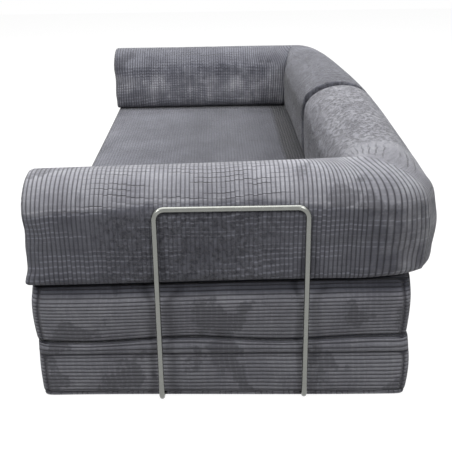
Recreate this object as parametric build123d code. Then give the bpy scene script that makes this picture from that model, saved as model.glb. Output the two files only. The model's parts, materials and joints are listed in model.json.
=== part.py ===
from build123d import *
import math
import os

# A sofa that folds out into a bed. Two mattress halves lie one on the other and are joined
# by a cloth hinge along the front. Two loose L-shaped bolsters stand on the upper half, each
# an arm and half of the back. A bracket of bent tube stands outside each arm, with its feet
# under the lower half, so that the arm can't slide off.
# X runs along the sofa, Y from the front to the back and Z up. The origin is on the floor
# under the middle of the whole. Right is the side of +X. Lengths are in millimetres.

# Mattress halves
mattress_length = 1800.0
mattress_depth = 815.0
mattress_thickness = 143.0
mattress_corner_radius = 14.0
mattress_side_swell = 5.0
long_side_draw_in = 5.0
seat_crown_height = 8.0
seat_crown_margin = 14.0
seat_crown_embed = 5.0
comfort_layer_thickness = 42.0
base_cloth_thickness = 1.5

# Covers and running clearances
cover_thickness = 3.0
foam_clearance = 0.3
layer_clearance = 0.3
cut_overrun = 5.0

# L-shaped bolsters
bolster_width = 192.0
bolster_height = 232.0
bolster_crown_rise = 75.0
bolster_edge_radius = 58.0
bolster_corner_radius = 100.0
bolster_base_radius = 18.0
bolster_side_draw_in = 6.0
arm_end_swell = 4.0
side_overhang = 10.0
back_overhang = 66.0
middle_gap = 2.0

# Cloth hinge along the front
hinge_strip_length = 1690.0
hinge_strip_height = 14.0
hinge_strip_thickness = 1.5
hinge_strip_inset = 0.4

# Tube brackets
tube_diameter = 12.0
tube_wall = 1.5
bracket_width = 317.0
bracket_bar_height = 453.0
bracket_bar_bend = 22.0
bracket_foot_bend = 16.0
bracket_foot_splay = 12.0
bracket_foot_grip = 250.0
bracket_clearance = 0.3
arm_bracket_set_back = 22.0
tunnel_clearance = 0.4
tunnel_end_room = 6.0
cap_flange_thickness = 2.0
cap_stem_length = 12.0
cap_stem_clearance = 0.1

# Zips
mattress_zip_end_distance = 87.5
bolster_zip_length = 560.0
bolster_zip_set_back = 22.0
bolster_zip_end_distance = 70.0
zip_tape_width = 12.0
zip_tape_thickness = 1.2
zip_slot_clearance = 0.3
zip_teeth_width = 3.2
zip_teeth_height = 1.0
slider_length = 12.0
slider_width = 9.0
slider_thickness = 2.4
slider_clearance = 0.3
slider_park_distance = 20.0
bail_length = 6.0
bail_width = 2.0
bail_height = 2.0
bail_bar = 0.8
pull_length = 24.0
pull_width = 6.0
pull_thickness = 0.8
pull_end_rim = 1.4

# Where the sides of a mattress swell most, from its bottom to its top
side_level_shares = (0.0, 0.2, 0.5, 0.8, 1.0)
side_swell_shares = (0.0, 0.8, 1.0, 0.8, 0.0)
# The crown of the seat: how far in and how high each of its levels lies
crown_inset_shares = (0.0, 0.18, 0.42)
crown_level_shares = (0.0, 0.7, 1.0)
zip_level_share = 0.8
zip_swell_share = 0.8

tube_radius = tube_diameter / 2
seat_level = 2 * mattress_thickness
bolster_level = seat_level + layer_clearance
shoulder_height = bolster_height - bolster_crown_rise
# The top of a bolster is an arch of three arcs: an edge arc on each side and a flatter crown
# arc that runs into both. The crown arc's centre lies this far below the shoulders.
edge_centre_offset = bolster_width / 2 - bolster_edge_radius
edge_rise_left = bolster_crown_rise - bolster_edge_radius
crown_centre_drop = (edge_centre_offset**2 - edge_rise_left**2) / (2 * edge_rise_left)
edge_arc_angle = math.degrees(math.atan2(crown_centre_drop, edge_centre_offset))

total_depth = mattress_depth + back_overhang
front_y = -total_depth / 2
mattress_back_y = front_y + mattress_depth
mattress_middle_y = front_y + mattress_depth / 2
bolster_back_y = mattress_back_y + back_overhang
arm_outer_x = mattress_length / 2 + side_overhang
arm_inner_x = arm_outer_x - bolster_width
back_inner_y = bolster_back_y - bolster_width

arm_bracket_y = mattress_middle_y + arm_bracket_set_back
mattress_zip_length = mattress_depth - 2 * mattress_zip_end_distance

foam_inset = cover_thickness + foam_clearance


def mattress_outline(inset, level):
    """Plan of a mattress half at one level: round corners, long sides drawn in between them."""
    half_x = mattress_length / 2 - inset
    half_y = mattress_depth / 2 - inset
    radius = mattress_corner_radius - inset
    pulled_y = half_y - long_side_draw_in
    with BuildSketch(Plane.XY.offset(level)) as outline:
        with BuildLine():
            for turn, side_x, side_y in ((0, 1, 1), (90, -1, 1), (180, -1, -1), (270, 1, -1)):
                corner = (side_x * (half_x - radius), side_y * (half_y - radius))
                CenterArc(corner, radius, turn, 90)
            for side in (1, -1):
                Line((side * half_x, radius - half_y), (side * half_x, half_y - radius))
                start = (side * (radius - half_x), side * half_y)
                end = (side * (half_x - radius), side * half_y)
                ThreePointArc(start, (0, side * pulled_y), end)
        make_face()
    return outline.sketch


def mattress_body(bottom, top, inset):
    """A mattress half, or the room inside it, with sides that swell between the seams."""
    sections = []
    for level_share, swell_share in zip(side_level_shares, side_swell_shares):
        level = bottom + inset + level_share * (top - bottom - 2 * inset)
        side_inset = inset + mattress_side_swell * (1 - swell_share)
        sections.append(mattress_outline(side_inset, level))
    return Pos(0, mattress_middle_y, 0) * loft(sections)


def seat_crown(inset):
    """The pillow-like rise of the seat between the arms and in front of the back."""
    margin = seat_crown_margin + inset
    length = 2 * (arm_inner_x - margin)
    near_y = front_y + mattress_side_swell + margin
    depth = back_inner_y - margin - near_y
    rise = seat_crown_embed + seat_crown_height
    sections = []
    for inset_share, level_share in zip(crown_inset_shares, crown_level_shares):
        shrink = inset_share * depth
        level = seat_level - inset - seat_crown_embed + level_share * rise
        outline = Rectangle(length - shrink, depth - shrink)
        sections.append(Pos(0, near_y + depth / 2, level) * outline)
    return loft(sections)


def foot_tunnel(length, growth):
    """Room for one foot under the mattress, along X from the origin, with a rounded roof.

    Growth is the wall of cloth round the room, which keeps the foam away from the foot.
    """
    radius = tube_radius + tunnel_clearance + growth
    roof = Pos(length / 2, 0, tube_radius) * Rot(0, 90, 0) * Cylinder(radius, length)
    walls_height = tube_radius + cut_overrun
    walls = Pos(length / 2, 0, tube_radius - walls_height / 2) * Box(length, 2 * radius, walls_height)
    return roof + walls


def all_tunnels(growth):
    """The rooms for the four feet, from their blind ends out through the mattress's ends."""
    depth = bracket_foot_grip + tunnel_end_room + growth
    tunnels = []
    for turn in (0, 180):
        for leg in (1, -1):
            start = Pos(mattress_length / 2 - depth, leg * bracket_width / 2, 0)
            tunnel = start * foot_tunnel(depth + cut_overrun, growth)
            tunnels.append(Pos(0, arm_bracket_y, 0) * Rot(0, 0, turn) * tunnel)
    return tunnels


def bolster_section(plane, inset):
    """Section of an arm: flat base, sides drawn in towards it, and an arch of three arcs on top."""
    middle = bolster_width / 2
    base = inset
    corner = bolster_base_radius - inset
    draw_in = bolster_side_draw_in
    edge_radius = bolster_edge_radius - inset
    apex = (middle, bolster_height - inset)
    crown_ends = []
    with BuildSketch(plane) as section:
        with BuildLine():
            for side in (1, -1):
                outer = middle + side * (middle - inset)
                foot = outer - side * draw_in
                edge_centre = (middle + side * edge_centre_offset, shoulder_height)
                start_angle = 0 if side > 0 else 180 - edge_arc_angle
                edge_arc = CenterArc(edge_centre, edge_radius, start_angle, edge_arc_angle)
                crown_ends.append(edge_arc @ (1 if side > 0 else 0))
                Line((outer, shoulder_height), (foot, base + corner))
                corner_angle = 270 if side > 0 else 180
                CenterArc((foot - side * corner, base + corner), corner, corner_angle, 90)
            ThreePointArc(crown_ends[0], apex, crown_ends[1])
            base_reach = middle - inset - draw_in - corner
            Line((middle - base_reach, base), (middle + base_reach, base))
        make_face()
    return section.sketch


def plan_prism(points):
    """A block with the given plan, taller than a bolster at both ends."""
    base = bolster_level - cut_overrun
    height = bolster_height + 2 * cut_overrun
    return extrude(Plane.XY.offset(base) * make_face(Polyline(*points, close=True).edges()), height)


def arm_region():
    """Plan of the arm up to the mitre and to the start of the round corner."""
    turn_x = arm_outer_x - bolster_corner_radius
    turn_y = bolster_back_y - bolster_corner_radius
    return plan_prism(
        [
            (arm_outer_x + cut_overrun, front_y - cut_overrun),
            (arm_outer_x + cut_overrun, turn_y),
            (turn_x, turn_y),
            (arm_inner_x - cut_overrun, back_inner_y - cut_overrun),
            (arm_inner_x - cut_overrun, front_y - cut_overrun),
        ]
    )


def back_region():
    """Plan of half the back up to the mitre and to the start of the round corner."""
    turn_x = arm_outer_x - bolster_corner_radius
    turn_y = bolster_back_y - bolster_corner_radius
    return plan_prism(
        [
            (-cut_overrun, bolster_back_y + cut_overrun),
            (turn_x, bolster_back_y + cut_overrun),
            (turn_x, turn_y),
            (arm_inner_x - cut_overrun, back_inner_y - cut_overrun),
            (-cut_overrun, back_inner_y - cut_overrun),
        ]
    )


def arm_end_trim(inset):
    """Everything behind the arm's swollen front end: proud at the shoulder, drawn in below and above."""
    shoulder_level = bolster_level + shoulder_height
    reach = shoulder_height + cut_overrun
    foot = (front_y + inset + arm_end_swell, shoulder_level - reach)
    shoulder = (front_y + inset, shoulder_level)
    crown = (front_y + inset + arm_end_swell, shoulder_level + reach)
    back = bolster_back_y + cut_overrun
    with BuildSketch(Plane.YZ) as side_view:
        with BuildLine():
            ThreePointArc(foot, shoulder, crown)
            Polyline(crown, (back, crown[1]), (back, foot[1]), foot)
        make_face()
    return extrude(side_view.sketch, arm_outer_x + cut_overrun)


def right_bolster_body(inset):
    """The right L-bolster: an arm, half of the back, a mitre between them and a round outer corner."""
    turn_x = arm_outer_x - bolster_corner_radius
    turn_y = bolster_back_y - bolster_corner_radius
    arm_plane = Plane(origin=(arm_outer_x, front_y, bolster_level), x_dir=(-1, 0, 0), z_dir=(0, 1, 0))
    arm = extrude(bolster_section(arm_plane, inset), total_depth) & arm_region()
    back_origin = (arm_outer_x, bolster_back_y, bolster_level)
    back_plane = Plane(origin=back_origin, x_dir=(0, -1, 0), z_dir=(-1, 0, 0))
    middle_x = middle_gap / 2 + inset
    back = extrude(bolster_section(back_plane, inset), arm_outer_x - middle_x) & back_region()
    corner_plane = Plane(origin=(arm_outer_x, turn_y, bolster_level), x_dir=(-1, 0, 0), z_dir=(0, 1, 0))
    outer_part = Pos(turn_x + bolster_width / 2, turn_y, bolster_level + bolster_height / 2) * Rot(90, 0, 0)
    outer_part = outer_part * Rectangle(bolster_width, bolster_height + 2 * cut_overrun)
    corner_section = bolster_section(corner_plane, inset) & outer_part
    corner_axis = Axis((turn_x, turn_y, 0), (0, 0, 1))
    corner = revolve(corner_section, corner_axis, 90)
    body = arm + back + corner
    return body & arm_end_trim(inset)


def zip_place_on_mattress(side, level):
    """Plane on a mattress's end panel: X along the panel, Z outwards."""
    face_x = side * (mattress_length / 2 - mattress_side_swell * (1 - zip_swell_share))
    return Plane(origin=(face_x, mattress_middle_y, level), x_dir=(0, side, 0), z_dir=(side, 0, 0))


def zip_place_on_bolster(side):
    """Plane on a bolster's underside behind the mattress: X along the back, Z down."""
    middle_x = side * (bolster_zip_end_distance + bolster_zip_length / 2)
    origin = (middle_x, mattress_back_y + bolster_zip_set_back, bolster_level)
    return Plane(origin=origin, x_dir=(side, 0, 0), z_dir=(0, 0, -1))


def zip_slot(length):
    """Slot in a cover's wall for a zip, centred on the outer face."""
    return Box(
        length + 2 * zip_slot_clearance,
        zip_tape_width + 2 * zip_slot_clearance,
        2 * cover_thickness + 2 * foam_clearance,
    )


def zip_strip(length):
    """Tape with its row of closed teeth, sunk in the slot."""
    tape_top = zip_tape_thickness - cover_thickness
    tape = Pos(0, 0, tape_top - zip_tape_thickness / 2) * Box(length, zip_tape_width, zip_tape_thickness)
    teeth_length = length - 2 * zip_tape_width
    teeth_level = tape_top + zip_teeth_height / 2
    teeth = Pos(0, 0, teeth_level) * Box(teeth_length, zip_teeth_width, zip_teeth_height)
    return tape + teeth


def zip_slider():
    """Slider astride the teeth, with a bail on top for the pull."""
    bottom = zip_tape_thickness - cover_thickness + slider_clearance
    with BuildSketch(Plane.XY.offset(bottom)) as outline:
        RectangleRounded(slider_length, slider_width, slider_width / 4)
    body = extrude(outline.sketch, slider_thickness)
    groove_height = zip_teeth_height
    groove_width = zip_teeth_width + 2 * slider_clearance
    groove = Pos(0, 0, bottom + groove_height / 2) * Box(2 * slider_length, groove_width, groove_height)
    top = bottom + slider_thickness
    bail = Pos(0, 0, top + bail_height / 2) * Box(bail_length, bail_width, bail_height)
    eye_height = bail_height - bail_bar
    eye_length = bail_length - 2 * bail_bar
    eye = Pos(0, 0, top + eye_height / 2) * Box(eye_length, 2 * bail_width, eye_height)
    return body - groove + (bail - eye)


def zip_pull():
    """Flat pull that hangs by its ring from the slider's bail."""
    top = zip_tape_thickness - cover_thickness + slider_clearance + slider_thickness
    eye_height = bail_height - bail_bar
    level = top + (eye_height - pull_thickness) / 2
    hole_length = bail_bar + 2 * slider_clearance + pull_end_rim
    with BuildSketch(Plane.XY.offset(level)) as outline:
        with Locations((pull_length / 2 + bail_length / 2 - bail_bar - slider_clearance - pull_end_rim, 0)):
            RectangleRounded(pull_length, pull_width, pull_width / 4)
        hole_x = bail_length / 2 - bail_bar - slider_clearance + hole_length / 2
        with Locations((hole_x, 0)):
            Rectangle(hole_length, bail_width + 2 * slider_clearance, mode=Mode.SUBTRACT)
    return extrude(outline.sketch, pull_thickness)


def slider_shift(length):
    """How far along the zip the slider is parked, near the outer end of the teeth."""
    return length / 2 - zip_tape_width - slider_park_distance


def lower_half():
    """Everything that stays on the floor."""
    top = mattress_thickness - layer_clearance / 2
    zip_level = base_cloth_thickness + zip_level_share * (top - base_cloth_thickness)
    zip_plane = zip_place_on_mattress(1, zip_level)
    cover = mattress_body(base_cloth_thickness, top, 0) - all_tunnels(0)
    room = mattress_body(base_cloth_thickness, top, cover_thickness) - all_tunnels(cover_thickness)
    cover = cover - room - zip_plane.location * zip_slot(mattress_zip_length)
    foam = mattress_body(base_cloth_thickness, top, foam_inset) - all_tunnels(foam_inset)
    parting = Plane.XY.offset(top - foam_inset - comfort_layer_thickness)
    cloth_outline = Pos(0, mattress_middle_y, 0) * mattress_outline(mattress_side_swell, 0)
    base_cloth = extrude(cloth_outline, base_cloth_thickness) - all_tunnels(0)
    parts = {
        "lower_cover": cover,
        "lower_support_foam": split(foam, bisect_by=parting, keep=Keep.BOTTOM),
        "lower_comfort_foam": split(foam, bisect_by=parting, keep=Keep.TOP),
        "lower_base_cloth": base_cloth,
        "hinge_strip_lower": hinge_strip(-1),
        "lower_zip": zip_plane.location * zip_strip(mattress_zip_length),
    }
    shift = Pos(slider_shift(mattress_zip_length), 0, 0)
    parts["lower_zip_slider"] = zip_plane.location * shift * zip_slider()
    parts["lower_zip_pull"] = zip_plane.location * shift * Rot(0, 0, 180) * zip_pull()
    return parts


def upper_half():
    """The seat half, which turns over to the front."""
    bottom = mattress_thickness + layer_clearance / 2
    zip_plane = zip_place_on_mattress(-1, bottom + zip_level_share * (seat_level - bottom))
    cover = mattress_body(bottom, seat_level, 0) + seat_crown(0)
    room = mattress_body(bottom, seat_level, cover_thickness) + seat_crown(cover_thickness)
    cover = cover - room - zip_plane.location * zip_slot(mattress_zip_length)
    foam = mattress_body(bottom, seat_level, foam_inset) + seat_crown(foam_inset)
    parting = Plane.XY.offset(bottom + foam_inset + comfort_layer_thickness)
    parts = {
        "upper_cover": cover,
        "upper_support_foam": split(foam, bisect_by=parting, keep=Keep.TOP),
        "upper_comfort_foam": split(foam, bisect_by=parting, keep=Keep.BOTTOM),
        "hinge_strip_upper": hinge_strip(1),
        "upper_zip": zip_plane.location * zip_strip(mattress_zip_length),
    }
    shift = Pos(slider_shift(mattress_zip_length), 0, 0)
    parts["upper_zip_slider"] = zip_plane.location * shift * zip_slider()
    parts["upper_zip_pull"] = zip_plane.location * shift * Rot(0, 0, 180) * zip_pull()
    return parts


def hinge_strip(side):
    """Half of the cloth hinge: below the fold line for -1, above it for 1."""
    height = hinge_strip_height - layer_clearance / 2
    middle_level = mattress_thickness + side * (layer_clearance / 2 + height / 2)
    middle_y = front_y + hinge_strip_inset + hinge_strip_thickness / 2
    return Pos(0, middle_y, middle_level) * Box(hinge_strip_length, hinge_strip_thickness, height)


def right_bolster():
    """Cover, foam blocks and zip of the right L-bolster, with its slider."""
    zip_plane = zip_place_on_bolster(1)
    cover = right_bolster_body(0) - right_bolster_body(cover_thickness)
    cover = cover - zip_plane.location * zip_slot(bolster_zip_length)
    foam = right_bolster_body(foam_inset)
    mitre = Plane(origin=(arm_inner_x, back_inner_y, 0), x_dir=(0, 0, 1), z_dir=(1, -1, 0))
    shift = Pos(slider_shift(bolster_zip_length), 0, 0)
    return {
        "bolster_cover": cover,
        "arm_foam": split(foam, bisect_by=mitre, keep=Keep.TOP),
        "back_foam": split(foam, bisect_by=mitre, keep=Keep.BOTTOM),
        "bolster_zip": zip_plane.location * zip_strip(bolster_zip_length),
        "bolster_zip_slider": zip_plane.location * shift * zip_slider(),
        "bolster_zip_pull": zip_plane.location * shift * Rot(0, 0, 180) * zip_pull(),
    }


def bracket():
    """Bent tube with its bar at X = 0, its legs splayed out and its feet running towards -X."""
    foot_reach = side_overhang + bracket_clearance + tube_radius + bracket_foot_grip - cap_flange_thickness
    half_width = bracket_width / 2
    path = FilletPolyline(
        (-foot_reach, -half_width, tube_radius),
        (bracket_foot_splay, -half_width, tube_radius),
        (0, -half_width, bracket_bar_height),
        (0, half_width, bracket_bar_height),
        (bracket_foot_splay, half_width, tube_radius),
        (-foot_reach, half_width, tube_radius),
        radius=[bracket_foot_bend, bracket_bar_bend, bracket_bar_bend, bracket_foot_bend],
    )
    start = Plane(origin=(-foot_reach, -half_width, tube_radius), z_dir=(1, 0, 0))
    bore_radius = tube_radius - tube_wall
    section = start * (Circle(tube_radius) - Circle(bore_radius))
    tube = sweep(section, path=path)
    stem_radius = bore_radius - cap_stem_clearance
    caps = []
    for side in (1, -1):
        end = Pos(-foot_reach, side * half_width, tube_radius) * Rot(0, 90, 0)
        flange = Pos(0, 0, -cap_flange_thickness / 2) * Cylinder(tube_radius, cap_flange_thickness)
        stem = Pos(0, 0, cap_stem_length / 2) * Cylinder(stem_radius, cap_stem_length)
        caps.append(end * (flange + stem))
    return tube, caps[0] + caps[1]


def both_brackets():
    """The same bent tube outside each arm, just clear of it."""
    tube, caps = bracket()
    bracket_x = arm_outer_x + bracket_clearance + tube_radius
    parts = {}
    for side, turn in (("right", 0), ("left", 180)):
        place = Pos(0, arm_bracket_y, 0) * Rot(0, 0, turn) * Pos(bracket_x, 0, 0)
        parts[side + "_arm_bracket"] = place * tube
        parts[side + "_arm_bracket_caps"] = place * caps
    return parts


def all_parts():
    """Every piece of the sofa bed by its name."""
    parts = {}
    parts.update(lower_half())
    parts.update(upper_half())
    for name, shape in right_bolster().items():
        parts["right_" + name] = shape
        parts["left_" + name] = mirror(shape, about=Plane.YZ)
    parts.update(both_brackets())
    return parts


os.makedirs("parts", exist_ok=True)
for node_name, node_shape in all_parts().items():
    export_step(node_shape, f"parts/{node_name}.step")
    print(node_name, round(node_shape.volume), len(node_shape.solids()))
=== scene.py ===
# %% [markdown]
# # A corduroy sofa bed
# The sofa bed is two foam mattresses joined by a cloth hinge, with two loose L-shaped bolsters
# on top and a bent steel tube outside each arm. The CAD model gives every size and place, so the
# lesson starts by loading it.

# %% Load the frame
import json
import math

import bmesh
import bpy
import numpy as np
from mathutils import Matrix, Vector


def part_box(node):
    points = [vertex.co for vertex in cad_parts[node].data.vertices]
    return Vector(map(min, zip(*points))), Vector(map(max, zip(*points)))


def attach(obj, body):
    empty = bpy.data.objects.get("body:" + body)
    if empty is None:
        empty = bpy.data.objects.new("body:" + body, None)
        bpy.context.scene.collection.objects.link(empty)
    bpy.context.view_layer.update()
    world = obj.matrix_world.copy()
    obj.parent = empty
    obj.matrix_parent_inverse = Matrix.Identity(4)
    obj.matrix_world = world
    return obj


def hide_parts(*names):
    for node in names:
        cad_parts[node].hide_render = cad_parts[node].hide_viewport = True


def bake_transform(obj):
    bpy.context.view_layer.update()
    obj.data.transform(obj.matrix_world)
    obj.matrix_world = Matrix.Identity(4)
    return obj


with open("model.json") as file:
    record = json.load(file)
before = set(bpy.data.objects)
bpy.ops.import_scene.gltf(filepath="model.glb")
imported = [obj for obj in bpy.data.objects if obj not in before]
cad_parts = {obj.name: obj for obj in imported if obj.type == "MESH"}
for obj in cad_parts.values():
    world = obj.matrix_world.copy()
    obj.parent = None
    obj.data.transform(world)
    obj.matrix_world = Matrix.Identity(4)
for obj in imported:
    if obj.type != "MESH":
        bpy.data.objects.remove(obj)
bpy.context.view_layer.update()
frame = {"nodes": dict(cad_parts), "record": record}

bpy.ops.object.select_all(action="DESELECT")

# %% [markdown]
# ## Sizes that every piece shares
# The mattresses and bolsters are read from the CAD nodes that they stand for. Only what the CAD
# model doesn't hold, such as the pitch of the corduroy's wales, is a number of its own here.

# %% Sizes
lower_low, lower_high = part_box("lower_cover")
upper_low, upper_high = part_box("upper_cover")
bolster_low, bolster_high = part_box("right_bolster_cover")
zip_low, zip_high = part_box("lower_zip")
hinge_low, hinge_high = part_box("hinge_strip_lower")

cloth_gap = 0.0003
bolster_width = 0.192
seat_level = bolster_low.z - cloth_gap
parting_level = (lower_high.z + upper_low.z) / 2
zip_level = (zip_low.z + zip_high.z) / 2
arm_outer_x = bolster_high.x
arm_inner_x = arm_outer_x - bolster_width
back_outer_y = bolster_high.y
back_inner_y = back_outer_y - bolster_width
front_y = bolster_low.y
mattress_middle_y = (lower_low.y + lower_high.y) / 2
mattress_corner_radius = 0.014
bolster_corner_radius = 0.100
wale_pitch = 0.0093
hair = 1e-5  # two places nearer than this count as the same
print("seat level", round(seat_level, 4), "arm", round(arm_inner_x, 4), "to", round(arm_outer_x, 4))

# %% [markdown]
# ## The camera
# The photograph looks at the sofa's right-hand end, a little from above. A camera could be aimed
# at a target, but then it can't roll. This one has a place and three angles that fit the edges in
# the photograph. It comes first, so that everything after it can be judged in the picture.

# %% Camera
camera_place = Vector((2.355, -0.035, 0.9935))
camera_down = 0.382
camera_turn = 0.009
camera_roll = -0.013
camera_lens = 60.3

forward = Vector((-math.cos(camera_turn) * math.cos(camera_down),
                  math.sin(camera_turn) * math.cos(camera_down),
                  -math.sin(camera_down)))
level_right = forward.cross(Vector((0, 0, 1))).normalized()
level_up = level_right.cross(forward)
right = level_right * math.cos(camera_roll) + level_up * math.sin(camera_roll)
up = level_up * math.cos(camera_roll) - level_right * math.sin(camera_roll)

bpy.ops.object.camera_add(location=camera_place)
camera = bpy.context.object
camera.name = "photo_camera"
camera.data.lens = camera_lens
camera.data.sensor_width = 36
turned = Matrix((right, up, -forward)).transposed().to_4x4()
camera.matrix_world = Matrix.Translation(camera_place) @ turned
bpy.context.scene.camera = camera
print(camera.name, "at", tuple(round(value, 3) for value in camera_place), "lens", camera_lens)

# %% [markdown]
# ## Lamps, world and floor
# The photograph has one wide soft lamp overhead: the tops are pale and the upright faces dark.
# Two weaker lamps at the sides give the tube its two faint shadows. A single bright world would
# be simpler, but it lights the sides as much as the tops. The floor is white where the camera
# sees it, and darker for light that bounces from it, so that the sides stay dark.

# %% Lamps
def soft_lamp(name, place, aim, width, power):
    """A square area lamp at a place, turned towards the point that it lights."""
    bpy.ops.object.light_add(type="AREA", location=place)
    lamp = bpy.context.object
    lamp.name = name
    lamp.data.shape = "RECTANGLE"
    lamp.data.size = width
    lamp.data.size_y = width
    lamp.data.energy = power
    lamp.rotation_mode = "QUATERNION"
    lamp.rotation_quaternion = (Vector(aim) - Vector(place)).to_track_quat("-Z", "Y")
    print(name, power, "W")


near_end = (0.9, 0.0, 0.2)
soft_lamp("overhead_lamp", (-0.9, 0.0, 2.8), (-0.9, 0.0, 0.0), 5.0, 230)
soft_lamp("front_side_lamp", (2.7, -2.5, 2.5), near_end, 0.7, 38)
soft_lamp("back_side_lamp", (3.4, 1.9, 2.5), near_end, 0.7, 38)

# %% Node helpers
class Value:
    """What a node gives out. Each + - * / on it adds a math node, and gives what that gives out."""

    def __init__(self, socket):
        self.socket = socket

    def math(self, operation, other=0.0):
        return add_node("Math", {0: self, 1: other}, operation=operation)

    def __add__(self, other):
        return self.math("ADD", other)

    def __sub__(self, other):
        return self.math("SUBTRACT", other)

    def __rsub__(self, number):
        return add_node("Math", {0: number, 1: self}, operation="SUBTRACT")

    def __mul__(self, other):
        return self.math("MULTIPLY", other)

    def __truediv__(self, other):
        return self.math("DIVIDE", other)


def plug(value, target):
    """Links a value to a node's input, or sets the input to a number, a triple or a colour."""
    if isinstance(value, Value):
        target.id_data.links.new(value.socket, target)
    elif isinstance(value, tuple) and len(target.default_value) == 4:
        target.default_value = (*value, 1)
    else:
        target.default_value = value


def add_node(kind, inputs, output=0, tree=None, **settings):
    """A shader node with its settings and inputs, in the tree of the values that it takes in."""
    if tree is None:
        values = [value for value in inputs.values() if isinstance(value, Value)]
        tree = values[0].socket.id_data
    node = tree.nodes.new("ShaderNode" + kind)
    for setting, value in settings.items():
        setattr(node, setting, value)
    for place, value in inputs.items():
        plug(value, node.inputs[place])
    return Value(node.outputs[output])


def remap(value, from_low, from_high, to_low, to_high):
    """A value carried from one range to another and held inside it."""
    return add_node("MapRange", {"Value": value, "From Min": from_low, "From Max": from_high,
                                 "To Min": to_low, "To Max": to_high})


def mix_colours(share, first, second):
    """Two colours mixed by a share; each is a value or a colour."""
    return add_node("Mix", {"Factor": share, "A": first, "B": second}, "Result", data_type="RGBA")


def new_material(name, **inputs):
    """A node material and its shader, with some of the shader's inputs set."""
    material = bpy.data.materials.new(name)
    material.use_nodes = True
    shader = material.node_tree.nodes["Principled BSDF"]
    for place, value in inputs.items():
        plug(value, shader.inputs[place.replace("_", " ")])
    return material, shader


# %% World and floor
def seen_by_eye(tree):
    """One for rays from the camera, from gloss and through glass, and zero for bounced light."""
    path = tree.nodes.new("ShaderNodeLightPath").outputs
    seen = Value(path["Is Camera Ray"]).math("MAXIMUM", Value(path["Is Glossy Ray"]))
    return seen.math("MAXIMUM", Value(path["Is Transmission Ray"]))


def make_world(fill_strength):
    """White where it is seen, and a weak even fill where it only lights."""
    world = bpy.data.worlds.new("studio")
    world.use_nodes = True
    tree = world.node_tree
    background = tree.nodes["Background"]
    plug((1, 1, 1), background.inputs["Color"])
    plug(remap(seen_by_eye(tree), 0.0, 1.0, fill_strength, 1.0), background.inputs["Strength"])
    bpy.context.scene.world = world


def make_floor(bounce_grey, seen_grey, glow, whiteness):
    """A wide pale floor just under the lower mattress, near white but still shaded by it."""
    bpy.ops.mesh.primitive_plane_add(size=14, location=(0, 0, -floor_drop))
    floor = bpy.context.object
    floor.name = "studio_floor"
    paint, shader = new_material("studio_floor_white", Roughness=0.9, Specular_IOR_Level=0.1)
    tree = paint.node_tree
    eye = seen_by_eye(tree)
    plug(mix_colours(eye, (bounce_grey,) * 3, (seen_grey,) * 3), shader.inputs["Base Color"])
    white = add_node("Emission", {"Strength": glow}, tree=tree)
    matt = Value(shader.outputs["BSDF"])
    blend = add_node("MixShader", {"Fac": eye * whiteness, 1: matt, 2: white})
    plug(blend, tree.nodes["Material Output"].inputs["Surface"])
    floor.data.materials.append(paint)
    print(floor.name, "white share", whiteness)


floor_drop = 0.0005
make_world(0.06)
make_floor(0.22, 0.95, 1.1, 0.86)
bpy.context.scene.view_settings.view_transform = "Standard"

# %% [markdown]
# ## Corduroy
# Wide-wale corduroy is a cloth with cut pile in rounded cords, the wales, and narrow bare grooves
# between them. The pile is brushed one way or the other by use, which leaves lighter and darker
# patches, and folds cross the wales as fine lines. Light and shade are painted into the colour as
# well: glints in rows across the wales, shade in the sunken marks, and darker sides below the lit
# top. The cords could be modelled, but there are hundreds, so nodes draw them as colour and relief.
# Each piece has a UV map in metres whose U runs across the wales, so the same pattern follows every
# panel. It also carries four marks: nap (how light the pile lies, with painted shade and light in
# places), openness (of the grooves), top (lit from above, with painted shade below it) and
# seam_shade.

# %% Noise patterns
def add_noise(vector, scale, detail=2.0, roughness=0.5):
    """A noise pattern of the given scale on a vector."""
    return add_node("TexNoise", {"Vector": vector, "Scale": scale, "Detail": detail,
                                 "Roughness": roughness}, "Fac")


# Each pattern: the noise's scale, detail and roughness, and the range of it that is spread out.
patterns = {
    "patches": (8.0, 6.0, 0.66, 0.36, 0.62),
    "brushed": (9.0, 5.0, 0.6, 0.56, 0.59),
    "mottle": (55.0, 4.0, 0.7, 0.4, 0.68),
    "crinkle": (80.0, 5.0, 0.7, 0.47, 0.6),
}


def pattern(place, name, most):
    """One of the patterns, from zero to most."""
    scale, detail, roughness, low, high = patterns[name]
    return remap(add_noise(place, scale, detail, roughness), low, high, 0.0, most)


print("patterns", *patterns)

# %% Wales and their marks
cord_roundness = 0.55
cord_wander = 0.005
cord_step = 0.003
line_spacing = 0.012
line_drift = 6.0


def arches(turns):
    """A row of arches: zero at each whole number of turns, and one half way between."""
    return (turns * math.pi).math("SINE").math("ABSOLUTE")


def wale_noise(number, along, across_scale, along_scale, shift):
    """Noise that is constant across each wale, so that a mark is cut into short bricks."""
    across = number * (across_scale * wale_pitch)
    vector = add_node("CombineXYZ", {0: across, 1: along * along_scale})
    return add_noise(add_node("VectorMath", {0: vector, 1: (shift,) * 3}, operation="ADD"), 1.0)


def cross_lines(number, along, width, shift):
    """Thin lines across the wales, which wander and break off, and step from wale to wale."""
    drift = wale_noise(number, along, 2.5, 2.0, shift) * line_drift
    wave = arches(along / line_spacing + drift)
    part = remap(wale_noise(number, along, 5.0, 24.0, shift + 5.0), 0.44, 0.5, 0.0, 1.0)
    return remap(wave, 0.0, width, 1.0, 0.0) * part


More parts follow.
